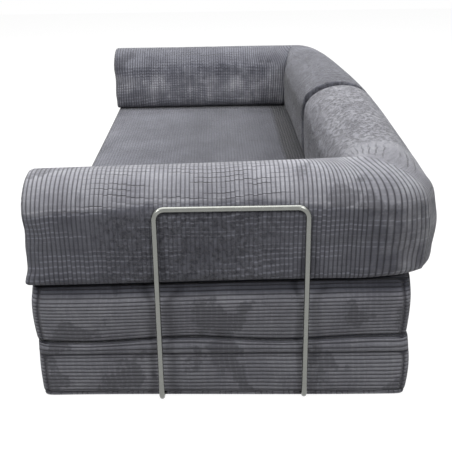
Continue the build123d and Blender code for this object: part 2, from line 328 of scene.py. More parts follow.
def wale_marks(place, across, along, top, openness):
    """The cords, and the creases and rows of painted glints that cross them."""
    wale = (across + add_noise(place, 7.0) * cord_wander) / wale_pitch
    cord = arches(wale).math("POWER", cord_roundness)
    number = wale.math("FLOOR")
    jitter = add_node("TexWhiteNoise", {"W": number}, "Value", noise_dimensions="1D") - 0.5
    stepped = along + jitter * cord_step
    crease = cross_lines(number, stepped, 0.42, 0.0) * remap(top, 0.0, 1.0, 0.25, 1.0)
    crease *= remap(openness, 0.5, 0.7, 0.1, 1.0)
    crease *= remap(openness, 0.82, 0.97, 1.0, 0.12)
    # Painted highlights: rows of bright glints across the wales, faint on the lit top.
    glint_row = cross_lines(number, stepped, 0.65, 17.0) * remap(top, 0.2, 0.8, 1.0, 0.15)
    glint_row *= remap(openness, 0.38, 0.42, 0.0, 1.0)
    return cord, crease, glint_row, jitter


# %% Relief and colour of the pile
relief_depth = 0.0026
fibre_height = 0.2
darkest_pile = 0.62
# how much brighter than the light pile the painted glints are
glint_brightness = 2.2


def raise_pile(place, cord, openness, sunken):
    """The relief: cords that stand tall where the grooves are open, fibres, and sunken marks."""
    fibre = add_noise(place, 900.0, 2.0, 0.7)
    height = cord * remap(openness, 0.0, 1.0, 0.3, 1.0) + fibre * fibre_height
    for shape, depth, _darkness in sunken:
        height -= shape * depth
    return add_node("Bump", {"Strength": 1.0, "Distance": relief_depth, "Height": height})


def colour_pile(place, cord, openness, glint_row, crinkle, dark, light, groove_and_shade_colour):
    """The colour before the painted shade: patches, mottle, dark brushed places, painted glints in
    rows, and grooves.
    """
    pile = mix_colours(pattern(place, "patches", 1.0), dark, light)
    pile = mix_colours(pattern(place, "mottle", 0.4).math("MAXIMUM", crinkle), pile, dark)
    brushed = pattern(place, "brushed", 0.7) * remap(openness, 0.9, 1.0, 0.0, 1.0)
    pile = mix_colours(brushed, pile, tuple(darkest_pile * part for part in dark))
    groove = remap(cord, 0.2, 0.85, 1.0, 0.0) * openness
    # Painted highlights: glints along the rows, on the cords only.
    glint = glint_row * (1 - groove) * 0.5
    pile = mix_colours(glint, pile, tuple(glint_brightness * part for part in light))
    return mix_colours(groove, pile, groove_and_shade_colour)


def light_share(place, top, nap, jitter, side_shade):
    """Painted light and shade: side_shade below the lit top's ragged edge, and the nap over all."""
    ragged = top + jitter * 0.1 + add_noise(place, 16.0, 5.0, 0.65) * 0.6
    return remap(ragged, 0.67, 0.92, side_shade, 1.0) * nap


# %% Corduroy material
def corduroy(name, dark, light, groove_and_shade_colour, side_shade, shade_tint):
    """Corduroy on the piece's wale map: cords, grooves, brushed patches, creases, painted glints
    and shade.
    """
    material, shader = new_material(name, Roughness=0.9, Specular_IOR_Level=0.15,
                                    Sheen_Weight=0.3, Sheen_Roughness=0.45)
    tree = material.node_tree
    wales = add_node("UVMap", {}, tree=tree, uv_map="wales")
    across, along = (add_node("SeparateXYZ", {0: wales}, axis) for axis in ("X", "Y"))
    place = add_node("TexCoord", {}, "Object", tree=tree)
    nap, top, openness, stitched = (add_node("Attribute", {}, "Fac", tree=tree, attribute_name=mark)
                                    for mark in ("nap", "top", "openness", "seam_shade"))
    cord, crease, glint_row, jitter = wale_marks(place, across, along, top, openness)
    seam = remap(stitched, 0.55, 0.95, 0.0, 1.0)
    crinkle = pattern(place, "crinkle", 1.0) * remap(openness, 0.38, 0.6, 1.0, 0.12)

    # Each sunken mark: its depth in the relief, and its darkness, painted shade in its hollow (for
    # a seam, its dark line as well).
    sunken = ((crease, 0.8, 0.8), (seam, 1.2, 0.95), (crinkle, 0.9, 0.5))  # depth and darkness
    plug(raise_pile(place, cord, openness, sunken), shader.inputs["Normal"])
    colour = colour_pile(place, cord, openness, glint_row, crinkle, dark, light, groove_and_shade_colour)
    shaded = 0.0
    for shape, _depth, darkness in sunken:
        shaded = (shape * darkness).math("MAXIMUM", shaded)
    # Painted shade: the colour is darkened towards the groove colour in the sunken marks.
    colour = mix_colours(shaded, colour, groove_and_shade_colour)
    # Painted light and shade: the colour is dimmed below the lit top and by the nap, and tinted
    # blue where it is dimmed.
    share = light_share(place, top, nap, jitter, side_shade)
    dimmed = add_node("VectorMath", {0: colour, "Scale": share}, operation="SCALE")
    tint = mix_colours(share, shade_tint, (1.0, 1.0, 1.0))
    tinted = add_node("VectorMath", {0: dimmed, 1: tint}, operation="MULTIPLY")
    plug(tinted, shader.inputs["Base Color"])
    print(name, "nodes", len(tree.nodes))
    return material


cover_corduroy = corduroy("corduroy", dark=(0.2, 0.2, 0.226), light=(0.32, 0.322, 0.352),
                          groove_and_shade_colour=(0.058, 0.057, 0.068), side_shade=0.54,
                          shade_tint=(0.97, 1.0, 1.15))

# %% [markdown]
# ## Helpers for modelling by hand
# A piece is made as by hand: a primitive, cut into rows in edit mode, shaped, and puffed up by a
# short cloth simulation, as a stuffed cover would be. Sculpting could give the same swell, but not
# the same one twice. These helpers select edges and faces by where they lie, because an operator
# works on all that is selected.

# %% Selection helpers
def make_only(piece):
    """Selects one piece and makes it the active one."""
    bpy.ops.object.select_all(action="DESELECT")
    piece.select_set(True)
    bpy.context.view_layer.objects.active = piece


def apply_modifier(piece, modifier):
    """Makes a piece active and applies one of its modifiers."""
    make_only(piece)
    bpy.ops.object.modifier_apply(modifier=modifier.name)


def edit_whole(piece, *operators):
    """Runs edit-mode operators on all of a piece."""
    make_only(piece)
    bpy.ops.object.mode_set(mode="EDIT")
    bpy.ops.mesh.select_all(action="SELECT")
    for operator in operators:
        operator()
    bpy.ops.object.mode_set(mode="OBJECT")


def select_edges(piece, chosen):
    """Selects the edges that pass a test, and nothing else."""
    bpy.ops.mesh.select_mode(type="EDGE")
    bpy.ops.mesh.select_all(action="DESELECT")
    shape = bmesh.from_edit_mesh(piece.data)
    for edge in shape.edges:
        edge.select = chosen(edge)
    bmesh.update_edit_mesh(piece.data)


def cut_along(piece, axis, cuts, beyond=None):
    """Cuts every edge that runs along an axis into equal runs, as loop cuts would."""
    def chosen(edge):
        run = edge.verts[1].co - edge.verts[0].co
        middle = (edge.verts[0].co + edge.verts[1].co) / 2
        return abs(run[axis]) > 0.99 * run.length and (beyond is None or middle[axis] > beyond)

    select_edges(piece, chosen)
    bpy.ops.mesh.subdivide(number_cuts=cuts)


# %% Shape helpers
def read_points(piece):
    """The piece's vertices as an array."""
    points = np.zeros(len(piece.data.vertices) * 3)
    piece.data.vertices.foreach_get("co", points)
    return points.reshape(-1, 3)


def write_points(piece, points):
    """Puts an array back as the piece's vertices."""
    piece.data.vertices.foreach_set("co", points.ravel())
    piece.data.update()


def rise(value, low, high):
    """Zero below low, one above high, and a smooth rise between them."""
    share = np.clip((value - low) / (high - low), 0, 1)
    return share * share * (3 - 2 * share)


def fall(value, low, high):
    """One below low, zero above high, and a smooth fall between them."""
    return 1 - rise(value, low, high)


def round_plan_corner(a, b, radius):
    """Distances from two upright sides, moved so that their corner becomes round."""
    near = np.minimum(a, b)
    far = np.maximum(a, b)
    inside = far < radius
    angle = math.pi / 4 * (radius - far) / np.maximum(radius - near, 1e-9)
    angle = np.where(a <= b, angle, math.pi / 2 - angle)
    reach = radius - near
    new_a = np.where(inside, radius - reach * np.cos(angle), a)
    new_b = np.where(inside, radius - reach * np.sin(angle), b)
    return new_a, new_b


def store_wale_map(piece, across_and_along):
    """A UV map in metres, filled face by face from the shape before it is bent or puffed."""
    layer = piece.data.uv_layers.new(name="wales")
    for face in piece.data.polygons:
        for loop in face.loop_indices:
            point = piece.data.vertices[piece.data.loops[loop].vertex_index].co
            layer.data[loop].uv = across_and_along(face, point)


def store_marks(piece, **marks):
    """Numbers for each vertex that the material reads, such as the shade along a seam."""
    for name, values in marks.items():
        layer = piece.data.attributes.new(name, "FLOAT", "POINT")
        filled = np.zeros(len(piece.data.vertices), np.float32)
        filled[:] = values
        layer.data.foreach_set("value", filled)


# %% Cloth helpers
cloth_settings = {
    "quality": 5, "mass": 0.3, "tension_stiffness": 12, "compression_stiffness": 12,
    "shear_stiffness": 4, "bending_stiffness": 0.6, "use_pressure": True,
}
puff_frames = 20


def puff(piece, held, pressure, most):
    """Inflates a cover while its seams are held, and keeps every point near its rest."""
    make_only(piece)
    rest = read_points(piece)
    group = piece.vertex_groups.new(name="held")
    for index in np.nonzero(held > 0)[0]:
        group.add([int(index)], float(held[index]), "REPLACE")
    cloth = piece.modifiers.new("Cloth", "CLOTH")
    for setting, value in cloth_settings.items():
        setattr(cloth.settings, setting, value)
    cloth.settings.uniform_pressure_force = pressure
    cloth.settings.vertex_group_mass = group.name
    cloth.settings.effector_weights.gravity = 0
    cloth.collision_settings.use_collision = False
    scene = bpy.context.scene
    for step in range(puff_frames):
        scene.frame_set(step + 1)
    apply_modifier(piece, cloth)
    scene.frame_set(1)
    moved = read_points(piece) - rest
    distance = np.linalg.norm(moved, axis=1, keepdims=True)
    share = most * np.tanh(distance / most) / np.maximum(distance, 1e-9)
    write_points(piece, rest + moved * share)
    piece.vertex_groups.remove(piece.vertex_groups["held"])
    print(piece.name, "puffed by at most", round(float((distance * share).max()) * 1000, 1), "mm")


def finish_soft(piece, finish):
    """Smooths a piece with applied subdivision and smooth shading, and gives it a finish."""
    smooth = piece.modifiers.new("Smooth", "SUBSURF")
    smooth.levels = 1
    smooth.uv_smooth = "NONE"
    apply_modifier(piece, smooth)
    bpy.ops.object.shade_smooth()
    piece.data.materials.append(finish)
    print(piece.name, "faces", len(piece.data.polygons))


def thicken(piece, thickness, offset):
    """Gives a flat cloth its thickness: on its front with an offset of one, or half each side."""
    wall = piece.modifiers.new("Thickness", "SOLIDIFY")
    wall.thickness = thickness
    wall.offset = offset
    apply_modifier(piece, wall)

# %% [markdown]
# ## The mattress halves
# Each half is a foam block in a fitted cover: a top and a bottom panel with a boxed border. The
# border's wales lie level, and the top's wales run the length of the sofa. The seams pull in and
# the panels swell between them, and the seat is crowned where no bolster rests. A bevelled cube
# would look like a hard box, so a finely cut cube is puffed instead, with its seams held.

# %% Mattress block
mattress_columns = 100
mattress_rows = 52
border_levels = 15
zip_row = 11
border_fold = 0.015
long_side_draw_in = 0.004
hem_height = 0.009


def mattress_block(name, low, high, levels):
    """A box cut into a grid, at rest, before it is rounded or puffed."""
    bpy.ops.mesh.primitive_cube_add(size=1, location=(low + high) / 2, scale=high - low)
    piece = bpy.context.object
    piece.name = name
    bpy.ops.object.transform_apply()
    bpy.ops.object.mode_set(mode="EDIT")
    for axis, pieces in enumerate((mattress_columns, mattress_rows, levels)):
        cut_along(piece, axis, pieces - 1)
    bpy.ops.object.mode_set(mode="OBJECT")
    store_wale_map(piece, mattress_wales)
    return piece


def mattress_wales(face, point):
    """Wales run along the top and bottom and level round the border."""
    if abs(face.normal.z) > 0.7:
        if lower_high.x - abs(face.center.x) < border_fold:
            to_end = lower_high.x - abs(point.x)
            return point.z + to_end * math.copysign(1, face.normal.z), point.y
        return point.y, point.x
    if abs(face.normal.x) > 0.7:
        return point.z, point.y
    return point.z, point.x


def middle_and_half(low, high):
    """A box's middle and half of its size, as arrays."""
    return np.array((low + high) / 2), np.array((high - low) / 2)


def round_mattress(points, low, high):
    """Rounds a block's upright corners and draws its long sides in between them."""
    middle, half = middle_and_half(low, high)
    offset = points - middle
    edge = half - np.abs(offset)
    plan_x, plan_y = round_plan_corner(edge[:, 0], edge[:, 1], mattress_corner_radius)
    offset[:, 0] = np.sign(offset[:, 0]) * (half[0] - plan_x)
    pull = 1 - long_side_draw_in * (1 - (offset[:, 0] / half[0]) ** 2) / half[1]
    offset[:, 1] = np.sign(offset[:, 1]) * (half[1] - plan_y) * pull
    return middle + offset


# %% [markdown]
# ## How the soft pieces give
# Foam gives where something rests on it: the arms sink into the seat's edge, the line between the
# halves wanders, and the ends lean out at the foot. Physics could find this, but not the folds of
# the photograph. Each is a smooth rule for all points, so that a flap or a hem moves with its
# cover. A zone is the stretch in which a rule comes in.

# %% How soft pieces give
arm_sag_zone = (0.78, 0.895)
arm_sag_least = 0.004
arm_sag_more = 0.006
arm_lip = 0.010
arm_lip_zone = (0.865, 0.9)
wave_zone = (0.75, 0.9)
wave_calm_zone = (0.45, 0.8)
wave_height = 0.0055
wave_length = 0.44
wave_start = 0.22
wave_fade = 0.06
end_zone = (0.8, 0.9)
end_skew = 0.008
bottom_flare = 0.011
top_tuck = 0.016
tuck_zone = (0.86, 0.9)
tuck_depths = (0.042, 0.014)
upper_bulges = (0.008, 0.005)
lower_bulges = (0.004, 0.011)
bulge_least = 0.35


def arm_sag(x, y):
    """How far a mattress gives under the outer edge of an arm, most at the front."""
    outward = rise(np.abs(x), *arm_sag_zone)
    frontward = fall(y, front_y, back_inner_y)
    return outward * (arm_sag_least + arm_sag_more * frontward)


def parting_wave(x, y):
    """How far the line between the halves wanders up and down at the ends."""
    outward = rise(np.abs(x), *wave_zone)
    along = y - front_y
    calmer = 1 - 0.6 * rise(along, *wave_calm_zone)
    return outward * calmer * wave_height * np.sin(2 * math.pi * (along - wave_start) / wave_length)


def settle(points, upper):
    """Bends a half's points as its neighbours press on it, for every piece that lies on it."""
    x, y, z = points.T
    level = z.copy()
    side = np.abs(x)
    wave = parting_wave(x, y)
    if upper:
        near_top = rise(level, parting_level, seat_level)
        edge_drop = 0.6 * arm_lip * rise(side, *arm_lip_zone)
        z -= (arm_sag(x, y) + edge_drop) * near_top
        z += wave * fall(level, parting_level, parting_level + wave_fade)
    else:
        z += wave * rise(level, zip_level, parting_level)
    at_end = rise(side, *end_zone)
    lean = rise(y, front_y, lower_high.y) * at_end
    flare = bottom_flare * (1 - np.clip(level / parting_level, 0, 1))
    tuck = top_tuck * rise(x, *tuck_zone)
    tuck *= rise(level, *(seat_level - depth for depth in tuck_depths))
    outward = (end_skew / 2 if upper else end_skew + flare) * lean - tuck
    x += np.sign(x) * outward
    start = parting_level if upper else 0
    bulge = np.sin(math.pi * np.clip((level - start) / parting_level, 0, 1))
    frontward = fall(y, front_y, mattress_middle_y)
    backward = rise(y, mattress_middle_y, lower_high.y)
    front_bulge, back_bulge = upper_bulges if upper else lower_bulges
    swell = backward * back_bulge - frontward * front_bulge * at_end
    y += swell * (bulge_least + (1 - bulge_least) * bulge)
    return points


print("arms sink by up to", arm_sag_least + arm_sag_more)

# %% [markdown]
# ## The mattress covers
# A cover could be six panels sewn together by a simulation. Here the seams are known from the
# photograph, so they are marked on the block, held while the cover is puffed, and shaded. The seat
# is darker, and its grooves are brushed closed by use. Painted shade darkens a strip of the seat
# along the back, the border under the arms and the line between the halves, and painted light
# makes the seat's front lighter.

# %% Seams and pile of a mattress
seat_crown = 0.008
least_puff = 0.006
back_bulge_in = 0.018
# width of the seat's strip along the back that is painted darker as shade
back_shade_strip = 0.052
front_light_zone = (-0.33, -0.05)
seat_nap = 0.315
# how much lighter the seat's front is painted, as painted light
seat_front_nap = 0.22
seat_openness = 0.57
# depths below the seat at which the arm's painted shadow on the border starts and is full
arm_shadow_depths = (0.042, 0.028)


def mattress_seams(points, low, high, upper):
    """One on the seams of a block's cover: round its edges, at its ends' corners and at the zip."""
    middle, half = middle_and_half(low, high)
    edge = half - np.abs(points - middle)
    level_seam = np.maximum(edge[:, 2], np.minimum(edge[:, 0], edge[:, 1])) < hair
    row_depth = 2 * half[1] / mattress_rows
    end_seam = (edge[:, 0] < hair) & (np.abs(edge[:, 1] - row_depth) < hair)
    row_level = low.z + (high.z - low.z) * zip_row / border_levels
    outward = points[:, 0] * (-1 if upper else 1)
    zip_seam = (outward > half[0] - hair) & (np.abs(points[:, 2] - row_level) < hair)
    return (level_seam | end_seam | zip_seam).astype(float)


def seat_streaks(along, across):
    """Slow waves of lighter and darker pile on the seat, longer along the wales."""
    wander = 1.6 * np.sin(5.0 * along + 0.7)
    return np.sin(23.0 * across + wander) * np.sin(7.0 * along + 9.0 * across + 1.3)


def mattress_marks(piece, points, on_seam, upper):
    """Seat dark and closed, border light; painted light at the seat's front, painted shade at its
    back, under the arms and between the halves.
    """
    x, y, z = points.T
    # Painted shade: the seat is darker in a strip along the back bolster, and painted light makes
    # it lighter towards the front.
    strip = back_inner_y - back_bulge_in - back_shade_strip
    by_back = rise(y, strip - 0.006, strip + 0.008)
    by_front = fall(y, *front_light_zone)
    on_seat = rise(z, seat_level - 0.004, seat_level) * upper
    seat = (seat_nap + seat_front_nap * by_front) * (1 - 0.68 * by_back)
    seat *= 1 + 0.1 * seat_streaks(x, y)
    outward = rise(np.abs(x), 0.86, 0.88)
    # Painted shadow of the arm on the top of each end, and painted shade along the line between the
    # halves.
    arm_shadow = rise(z, *(seat_level - depth for depth in arm_shadow_depths)) * upper
    from_parting = np.abs(z - parting_level - parting_wave(x, y))
    parting_shade = fall(from_parting, 0.001, 0.007)
    border = 1 - outward * np.maximum(0.65 * arm_shadow, 0.6 * parting_shade)
    border *= 1.03 if upper else 1.09
    store_marks(piece, seam_shade=on_seam, top=1.0,
                nap=border + on_seat * (1 - outward) * (seat - border),
                openness=1 + on_seat * (seat_openness + (1 - seat_openness) * by_back - 1))


# %% Mattress covers
def mattress_cover(name, low, high, upper):
    """One half: rounded in plan, puffed between its seams and flat where it rests."""
    crown = seat_crown if upper else 0.0
    piece = mattress_block(name, low, high, border_levels)
    points = read_points(piece)
    on_seam = mattress_seams(points, low, high, upper)
    write_points(piece, round_mattress(points, low, high))
    puff(piece, on_seam, 5.0, max(crown, least_puff))
    points = read_points(piece)
    x, y, z = points.T
    seat = rise(arm_inner_x - 0.03 - np.abs(x), 0, 0.05)
    seat *= rise(back_inner_y - back_bulge_in - 0.008 - y, 0, 0.05)
    z[:] = np.clip(z, low.z, high.z + crown * seat)
    points = settle(points, upper)
    mattress_marks(piece, points, on_seam, upper)
    write_points(piece, points)
    finish_soft(piece, cover_corduroy)
    return piece


def dress_half(piece, body, *nodes):
    """Puts a half's cover on its body in place of the CAD cover and foam."""
    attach(piece, body)
    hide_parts(*nodes)


lower_start = Vector((lower_low.x, lower_low.y, hem_height))
lower_half = mattress_cover("lower_mattress_cover", lower_start, lower_high, False)
dress_half(lower_half, "lower_half", "lower_cover", "lower_support_foam", "lower_comfort_foam")

upper_top = Vector((upper_high.x, upper_high.y, seat_level))
upper_half = mattress_cover("upper_mattress_cover", upper_low, upper_top, True)
dress_half(upper_half, "upper_half", "upper_cover", "upper_support_foam", "upper_comfort_foam")

# %% [markdown]
# ## The L-bolsters
# A bolster is an arm and half of the back, cut from foam with an arched top and joined at a
# mitre. The cover's wales wrap across it, so those of the arm meet those of the back at the
# mitre seam. A curve swept round the L would be quicker, but its wales would turn the corner
# instead of meeting at a mitre. So one leg is an open cylinder, cut into rings that take the
# section's shape, and cut off at the mitre plane; the other is made the same way, and the two
# are merged. Extruding rings would do too, but it leaves the points in another order each run.

# %% Bolster section
bolster_height = 0.232
crown_rise = 0.075
edge_radius = 0.058
base_radius = 0.018
side_draw_in = 0.006
section_count = 48


def arc(centre_x, centre_y, radius, angles):
    """Points on a part of a circle."""
    return [(centre_x + radius * math.cos(a), centre_y + radius * math.sin(a)) for a in angles]


def bolster_section():
    """Points round an arm's section: distance from the outer side, and height, from the base up."""
    shoulder = bolster_height - crown_rise
    centre_offset = bolster_width / 2 - edge_radius
    rise_left = crown_rise - edge_radius
    drop = (centre_offset**2 - rise_left**2) / (2 * rise_left)
    crown_radius = rise_left + drop + edge_radius
    crown_half = math.atan2(centre_offset, drop)
    base = np.linspace(-math.pi / 2, -math.pi, 7)
    half = [(bolster_width / 2, 0.0)]
    half += arc(side_draw_in + base_radius, base_radius, base_radius, base)
    half.append((0.0, shoulder))
    turn = np.linspace(math.pi, math.pi / 2 + crown_half, 9)
    half += arc(edge_radius, shoulder, edge_radius, turn)
    for angle in np.linspace(crown_half, 0, 7)[1:]:
        half.append((bolster_width / 2 - crown_radius * math.sin(angle),
                     shoulder - drop + crown_radius * math.cos(angle)))
    other = [(bolster_width - across, level) for across, level in half[-2:0:-1]]
    outline = np.array(half + other + half[:1])
    runs = np.linalg.norm(np.diff(outline, axis=0), axis=1)
    length = np.concatenate(([0], np.cumsum(runs)))
    wanted = np.linspace(0, length[-1], section_count, endpoint=False)
    return np.stack([np.interp(wanted, length, outline[:, axis]) for axis in (0, 1)], axis=1)


section = bolster_section()
print("section of", section_count, "points")

# %% Bolster legs
ring_spacing = 0.012


def bolster_leg(name, straight):
    """One leg along +Y that ends past the corner: X is the distance from the outer side."""
    straight_rings = round(straight / ring_spacing)
    corner_rings = round(bolster_width / ring_spacing)
    bpy.ops.mesh.primitive_cylinder_add(vertices=section_count, end_fill_type="NOTHING")
    leg = bpy.context.object
    leg.name = name
    x, y, z = read_points(leg).T
    around = np.round(np.arctan2(y, x) / (2 * math.pi) * section_count).astype(int)
    ring = np.where(z > 0, straight_rings + corner_rings, 0)
    write_points(leg, np.stack([section[around, 0], ring, section[around, 1]], axis=1))
    bpy.ops.object.mode_set(mode="EDIT")
    cut_along(leg, 1, straight_rings + corner_rings - 1)
    bpy.ops.object.mode_set(mode="OBJECT")
    points = read_points(leg)
    ring = np.round(points[:, 1])
    in_corner = straight + (ring - straight_rings) * bolster_width / corner_rings
    points[:, 1] = np.where(ring > straight_rings, in_corner, ring * straight / straight_rings)
    write_points(leg, points)
    mitre_point = (bolster_width, straight, 0)
    edit_whole(leg, lambda: bpy.ops.mesh.bisect(plane_co=mitre_point, plane_no=(1, 1, 0),
                                                clear_outer=True))
    close_end(leg)
    print(name, "points", len(leg.data.vertices))
    return leg


def close_end(leg):
    """Fills the leg's free end with a grid."""
    bpy.ops.object.mode_set(mode="EDIT")
    select_edges(leg, lambda edge: max(abs(vertex.co.y) for vertex in edge.verts) < hair)
    quarter = section_count // 4
    bpy.ops.mesh.fill_grid(span=quarter, offset=quarter)
    bpy.ops.object.mode_set(mode="OBJECT")


arm_length = back_inner_y - front_y
back_length = arm_inner_x - bolster_low.x
legs = (bolster_leg("arm_leg", arm_length), bolster_leg("back_leg", back_length))

# %% Join the legs
weld_reach = 0.0008


def place_leg(leg, is_back):
    """Carries a leg from its own axes to the right-hand end of the sofa."""
    points = read_points(leg)
    x, y, z = points.T
    distance, along, level = points.T.copy()
    z[:] = level + bolster_low.z
    if is_back:
        x[:] = arm_inner_x + (along - back_length)
        y[:] = back_outer_y - distance
    else:
        x[:] = arm_outer_x - distance
        y[:] = back_inner_y + (along - arm_length)
    write_points(leg, points)


def join_legs(name):
    """One L-shaped cover from copies of the two legs, welded along the mitre."""
    copies = []
    for is_back, source in enumerate(legs):
        leg = source.copy()
        leg.data = source.data.copy()
        bpy.context.scene.collection.objects.link(leg)
        place_leg(leg, is_back)
        leg_kind = leg.data.attributes.new("on_back", "FLOAT", "FACE")
        leg_kind.data.foreach_set("value", np.full(len(leg.data.polygons), is_back, np.float32))
        copies.append(leg)
    make_only(copies[0])
    copies[1].select_set(True)
    bpy.ops.object.join()
    piece = bpy.context.object
    piece.name = name
    edit_whole(piece, lambda: bpy.ops.mesh.remove_doubles(threshold=weld_reach),
               bpy.ops.mesh.normals_make_consistent)
    return piece


# %% Wales of a bolster
section_turn = 0.12
corner_wale_reach = 0.17
corner_wale_share = 0.62


def section_run(distance, level):
    """How far round the section a point lies, which is the wale map's other direction."""
    return section_turn * math.atan2(level - bolster_low.z - 0.1, distance - bolster_width / 2)


def bolster_wales(on_back):
    """The wale map's rule for a bolster: wales wrap across the arm and across the back."""
    def rule(face, point):
        back = on_back[face.index] > 0.5
        if abs(face.normal.y) > 0.9 and not back and face.center.y < front_y + 0.001:
            return point.x, point.z
        if abs(face.normal.x) > 0.9 and back and face.center.x < bolster_low.x + 0.001:
            return point.y, point.z
        if back:
            return point.x, section_run(back_outer_y - point.y, point.z)
        turn = back_outer_y - corner_wale_reach
        stretched = min(point.y, turn) + corner_wale_share * max(point.y - turn, 0)
        return stretched, section_run(arm_outer_x - point.x, point.z)
    return rule


print("wales closer together past", corner_wale_reach, "from the back")

# %% [markdown]
# ## The bolsters' settled shape
# A new bolster is straight, a used one sags: the mitre's crest slides forward, the back bows, the
# arm tips, and its lower edge hangs over the mattress as a lip. Proportional editing does this by
# hand; the rules below move the same points by the same smooth falloffs.

# %% Shape of a bolster
edge_reach = 1e-4
top_zone = (0.06, 0.2)
back_swell_start = 0.06
back_bow = 0.009
back_rise = 0.012
middle_zone = 0.1
corner_turn_in = 0.004
corner_foot_out = 0.006
corner_top_in = 0.015
mitre_shift = 0.05
mitre_reach = 0.22


def shift_mitre(points, across, behind):
    """Slides the mitre's crest towards the front, as the stuffed corner has settled."""
    on_arm = behind >= across - hair
    quarter = np.where(on_arm, across, behind)
    crest = np.sin(math.pi * np.clip(quarter / bolster_width, 0, 1))
    inside = (across < bolster_width + edge_reach) | ~on_arm
    fade = fall(np.abs(behind - across), 0, mitre_reach)
    points[:, 1] -= mitre_shift * crest * fade * inside


def shape_back(points, across, behind, level, end_drop, end_taper):
    """Swells the back's inner side, bows its outer side and lets it rise from the corner."""
    x, y, z = points.T
    top_share = rise(level, *top_zone)
    near_middle = fall(x, bolster_low.x, bolster_low.x + middle_zone)
    inward = rise(behind, back_swell_start, bolster_width)
    inward *= behind < bolster_width + edge_reach
    inward *= rise(across, bolster_width - 0.03, bolster_width + 0.12)
    y -= back_bulge_in * inward
    y += end_taper * near_middle**2 * inward
    outer_share = rise(y, back_inner_y, back_outer_y) * (behind < across)
    bow = back_bow * fall(x, 0.1, 0.8)
    bow -= corner_turn_in * rise(x, 0.5, 0.9)
    y += bow * outer_share
    near_corner = rise(x, 0.5, 0.8)
    near_corner *= rise(y, back_inner_y + 0.05, back_outer_y)
    lean = corner_foot_out - corner_top_in * rise(level, 0.09, 0.17)
    y += near_corner * lean
    z += back_rise * fall(x, 0.15, 0.7) * top_share
    z -= end_drop * near_middle**2 * top_share


# %% Shape of an arm
inner_start = 0.12
front_reach = 0.08
front_swell = 0.006
tilt_span = 0.4
lip_end_zone = (0.25, 0.38)
lip_width_zone = (0.004, 0.034)
lip_height = 0.07
ear_out = 0.011
ear_level = 0.016
ear_height = 0.014
ear_width = 0.035
ear_reach = 0.03


def shape_arm(points, across, behind, level, has_lip, arm_tilt, inner_lean):
    """Leans and tips the arm, swells its front end and hangs its outer lower edge as a lip."""
    x, y, z = points.T
    frontward = fall(y, front_y, back_inner_y)
    inner_face = rise(across, inner_start, bolster_width) * (behind > bolster_width)
    lean = inner_lean * inner_face * (0.4 + 0.6 * frontward)
    x -= lean * fall(level, 0.05, 0.2)
    at_front = fall(y, front_y, front_y + front_reach)
    y -= 0.4 * inner_lean * at_front * rise(level, 0.08, 0.17)
    tilt = np.clip((y - mattress_middle_y) / tilt_span, -1, 1)
    along_arm = rise(x, arm_inner_x - 0.2, arm_inner_x + 0.05)
    z += arm_tilt * tilt * along_arm * rise(level, *top_zone)
    z -= arm_sag(x, y) * fall(level, 0.0, bolster_height)
    lip = fall(across, *lip_width_zone) * fall(level, 0.0, lip_height)
    lip *= has_lip
    z -= arm_lip * lip
    x += 0.5 * arm_lip * lip * fall(level, 0.012, 0.05)
    y -= front_swell * at_front * fall(level, 0.05, 0.14)
    ear = fall(across, 0.0, ear_width)
    ear *= np.exp(-(((level - ear_level) / ear_height) ** 2))
    ear *= fall(y, front_y, front_y + ear_reach)
    y -= ear_out * ear


print("mitre shifts", mitre_shift, "back bows", back_bow, "lip hangs", arm_lip)

# %% [markdown]
# ## The bolsters' pile
# The overhead light ends along the arm's shoulder, and below it the colour is painted darker as
# shade, lifted in patches. Hands have brushed some of the pile closed, so that its grooves hardly
# show. Painting this by hand would do, but it could not be repeated, so each share is worked out
# from where a point lies: across the arm, behind, its level and along it.

# %% Pile of a bolster
mitre_blend = 0.04
light_level = 0.149
light_fade = 0.04
light_rise, light_drop = 0.012, 0.022
# how far the painted shade is lifted in patches on the inner faces, the back and the corner
inner_patch, back_patch, corner_patch = 0.44, 0.53, 0.5
arm_nap, corner_nap, back_nap = 1.13, 0.12, 0.28
far_nap, far_inner_nap = 0.62, 0.75
arm_open, top_open, corner_open, front_open, far_open = 0.42, 0.38, 0.5, 0.3, 0.2
back_open, back_end_open = 0.3, 0.5


def bolster_marks(piece, across, behind, level, along, far_side):
    """How light the nap lies, how open the grooves are, and where the top's light ends and painted
    shade begins.
    """
    on_back = rise(across - behind, 0.0, mitre_blend)
    inner = rise(across, 0.15, bolster_width) * (behind > bolster_width) * (1 - on_back)
    lower = fall(level, 0.09, 0.2)
    # Where the overhead light ends: below this edge the material paints the sides darker as shade.
    edge = light_level + light_rise * rise(along, -0.35, -0.15)
    edge -= light_drop * rise(along, 0.05, 0.25)
    top = np.clip((level - edge) / light_fade, 0, 1)
    # Patches in which the painted shade is lifted: the inner faces, the back's lower part and the
    # corner.
    patchy = np.maximum(inner_patch * inner, back_patch * on_back * lower)
    patchy += corner_patch * rise(along, 0.15, 0.36) * (1 - on_back)
    nap = arm_nap + corner_nap * rise(along, -0.1, 0.15) - back_nap * on_back
    if far_side:
        nap = far_nap + far_inner_nap * inner * lower
    nap *= 1 - 0.25 * on_back * rise(behind, bolster_width - 0.03, bolster_width)
    openness = arm_open + top_open * top
    openness += corner_open * rise(along, 0.02, 0.3)
    openness += front_open * fall(along, -0.41, -0.22)
    openness += far_open * inner * far_side
    on_back_open = back_open + back_end_open * fall(across, 0.12, 0.3)
    openness = openness * (1 - on_back) + on_back_open * on_back
    store_marks(piece, top=np.maximum(top, patchy), nap=nap, openness=np.clip(openness, 0, 1))


# %% Make both bolsters
middle_touch = 0.0002
bolster_puff = 0.005


